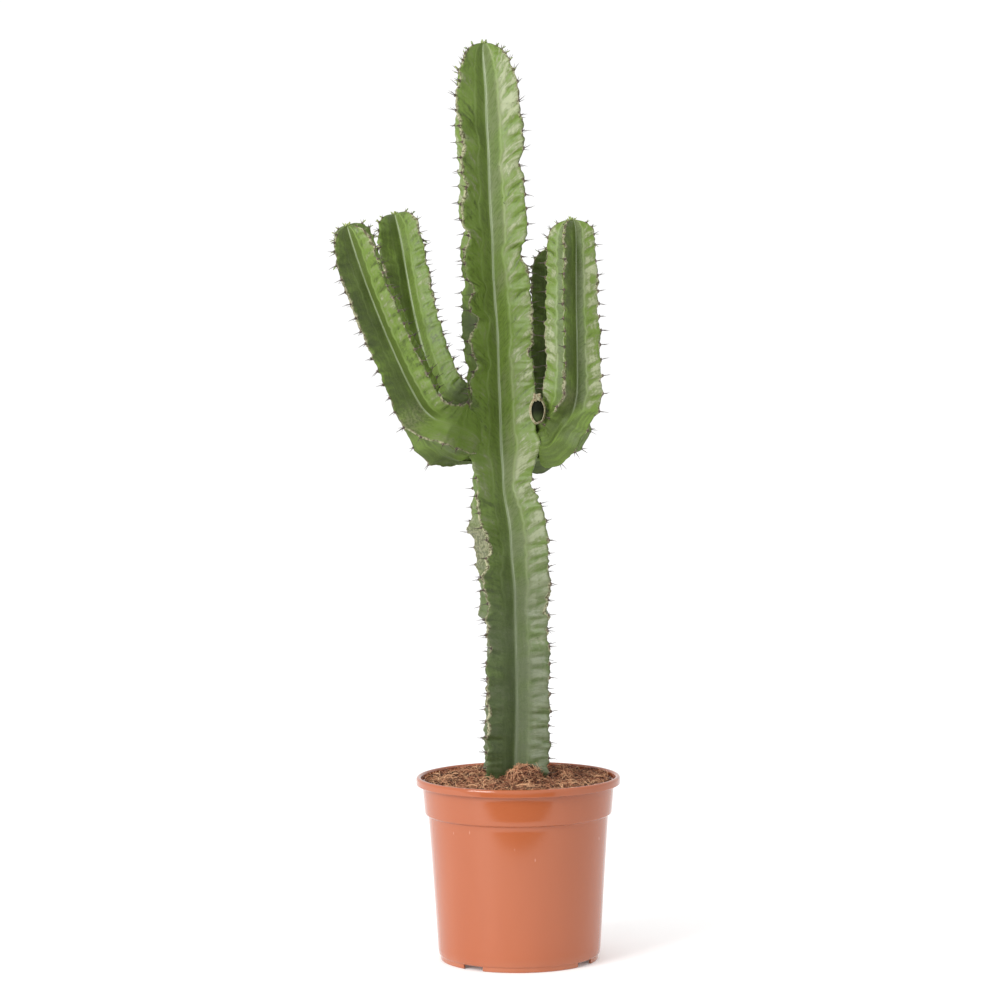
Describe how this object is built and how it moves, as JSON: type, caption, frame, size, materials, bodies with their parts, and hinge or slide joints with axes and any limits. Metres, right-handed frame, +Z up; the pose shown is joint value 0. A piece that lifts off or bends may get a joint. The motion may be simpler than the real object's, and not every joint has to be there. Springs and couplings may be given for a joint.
{
  "type": "potted euphorbia",
  "caption": "Upright ribbed tree euphorbia with rising arms, growing in moist coir in a round plastic nursery pot that stands on its foot ring.",
  "frame": {"origin": "middle of the base of the whole object's box, on the surface that the pot stands on", "axes": "+Z up along the stem, +Y to the back, +X to the right as seen from the front; the pot's axis is about 36 mm to the right of the origin because the arms reach further to the left"},
  "size_m": [0.2824, 0.2678, 0.944],
  "materials": {
    "pot_plastic": "satin moulded terracotta-brown polypropylene",
    "soil": "dark moist coir with lighter fibres",
    "stem_skin": "living green skin, waxy, paler and slightly corky along the ribs",
    "arm_skin": "living green skin, waxy, with pale streaks and cream rib edges",
    "coir": "loose brown coir fibre",
    "coir_chip": "smooth tan husk chip"
  },
  "bodies": {
    "root": {"pot": "pot_plastic", "soil": "soil", "main_stem": "stem_skin", "arm_front_left": "arm_skin", "arm_back_left": "arm_skin", "arm_front_right": "arm_skin", "arm_back_right": "arm_skin", "coir_clump_front": "coir", "coir_clump_right": "coir", "coir_chip": "coir_chip"}
  },
  "joints": []
}
